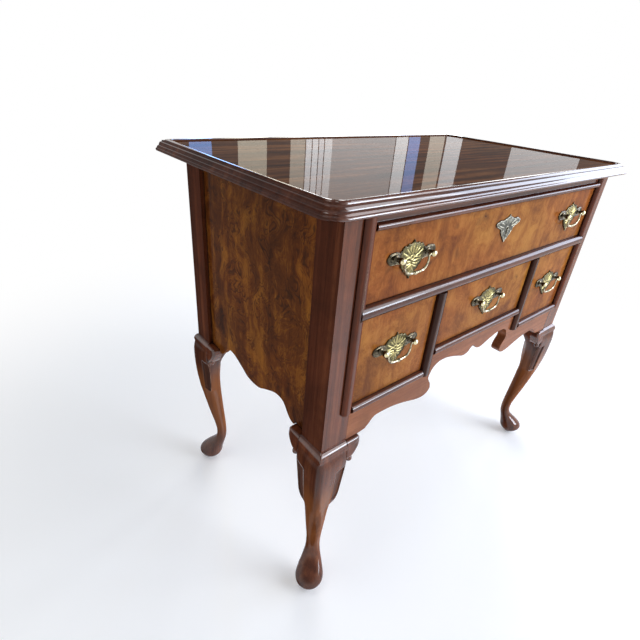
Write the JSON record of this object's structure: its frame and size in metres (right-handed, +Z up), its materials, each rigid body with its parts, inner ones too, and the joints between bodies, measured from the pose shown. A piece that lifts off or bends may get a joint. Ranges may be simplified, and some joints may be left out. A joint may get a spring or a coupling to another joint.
{
  "type": "lowboy",
  "caption": "Walnut lowboy with a moulded dished top, a long drawer over short drawers, a scalloped apron, bail pulls and cabriole legs.",
  "frame": {"origin": "on the floor, under the middle of the top board", "axes": "+X to the right seen from the front, +Y to the back, +Z up; the drawers open towards -Y"},
  "size_m": [0.868, 0.486, 0.7685],
  "materials": {
    "figured_walnut": "figured walnut veneer, french polished",
    "dark_walnut": "solid walnut, dark red-brown stain, polished",
    "mid_walnut": "solid walnut, mid red-brown, polished",
    "aged_brass": "cast and engraved, tarnished in the hollows",
    "drawer_wood": "plain unpolished wood",
    "steel": "dull steel"
  },
  "bodies": {
    "case": {"top_board": "figured_walnut", "side_panel_left": "figured_walnut", "side_panel_right": "figured_walnut", "back_board": "drawer_wood", "front_apron": "mid_walnut", "leg_front_left": "dark_walnut", "leg_front_right": "dark_walnut", "leg_rear_left": "dark_walnut", "leg_rear_right": "dark_walnut", "knee_block_side_front_left": "dark_walnut", "knee_block_side_front_right": "dark_walnut", "knee_block_side_rear_left": "dark_walnut", "knee_block_side_rear_right": "dark_walnut", "knee_block_front_left": "dark_walnut", "knee_block_front_right": "dark_walnut", "top_rail": "dark_walnut", "middle_rail": "dark_walnut", "centre_rail": "dark_walnut", "side_rail_left": "dark_walnut", "side_rail_right": "dark_walnut", "divider_left": "dark_walnut", "divider_right": "dark_walnut", "stile_moulding_left": "dark_walnut", "stile_moulding_right": "dark_walnut", "runner_top_left": "drawer_wood", "runner_top_right": "drawer_wood", "runner_outer_left": "drawer_wood", "runner_outer_right": "drawer_wood", "runner_inner_left": "drawer_wood", "runner_inner_right": "drawer_wood", "glide_front_left": "steel", "glide_front_right": "steel", "glide_rear_left": "steel", "glide_rear_right": "steel"},
    "drawer_top": {"drawer_top_front": "figured_walnut", "drawer_top_box": "drawer_wood", "drawer_top_bottom": "drawer_wood", "escutcheon": "aged_brass", "lock_case": "steel", "pull_top_left": "aged_brass", "pull_top_right": "aged_brass"},
    "drawer_left": {"drawer_left_front": "figured_walnut", "drawer_left_box": "drawer_wood", "drawer_left_bottom": "drawer_wood", "pull_left": "aged_brass"},
    "drawer_centre": {"drawer_centre_front": "figured_walnut", "drawer_centre_box": "drawer_wood", "drawer_centre_bottom": "drawer_wood", "pull_centre": "aged_brass"},
    "drawer_right": {"drawer_right_front": "figured_walnut", "drawer_right_box": "drawer_wood", "drawer_right_bottom": "drawer_wood", "pull_right": "aged_brass"},
    "bail_top_left": {"bail_top_left": "aged_brass"},
    "bail_top_right": {"bail_top_right": "aged_brass"},
    "bail_left": {"bail_left": "aged_brass"},
    "bail_centre": {"bail_centre": "aged_brass"},
    "bail_right": {"bail_right": "aged_brass"}
  },
  "joints": [
    {"name": "drawer_top_slide", "type": "slide", "parent": "case", "child": "drawer_top", "axis": [0, -1, 0], "range_m": [0, 0.3]},
    {"name": "drawer_left_slide", "type": "slide", "parent": "case", "child": "drawer_left", "axis": [0, -1, 0], "range_m": [0, 0.3]},
    {"name": "drawer_centre_slide", "type": "slide", "parent": "case", "child": "drawer_centre", "axis": [0, -1, 0], "range_m": [0, 0.3]},
    {"name": "drawer_right_slide", "type": "slide", "parent": "case", "child": "drawer_right", "axis": [0, -1, 0], "range_m": [0, 0.3]},
    {"name": "bail_top_left_swing", "type": "hinge", "parent": "drawer_top", "child": "bail_top_left", "pos_m": [-0.2525, -0.2275, 0.6748], "axis": [-1, 0, 0], "range_deg": [0, 110]},
    {"name": "bail_top_right_swing", "type": "hinge", "parent": "drawer_top", "child": "bail_top_right", "pos_m": [0.2525, -0.2275, 0.6748], "axis": [-1, 0, 0], "range_deg": [0, 110]},
    {"name": "bail_left_swing", "type": "hinge", "parent": "drawer_left", "child": "bail_left", "pos_m": [-0.2525, -0.2275, 0.52405], "axis": [-1, 0, 0], "range_deg": [0, 110]},
    {"name": "bail_centre_swing", "type": "hinge", "parent": "drawer_centre", "child": "bail_centre", "pos_m": [0, -0.2275, 0.54455], "axis": [-1, 0, 0], "range_deg": [0, 110]},
    {"name": "bail_right_swing", "type": "hinge", "parent": "drawer_right", "child": "bail_right", "pos_m": [0.2525, -0.2275, 0.52405], "axis": [-1, 0, 0], "range_deg": [0, 110]}
  ]
}
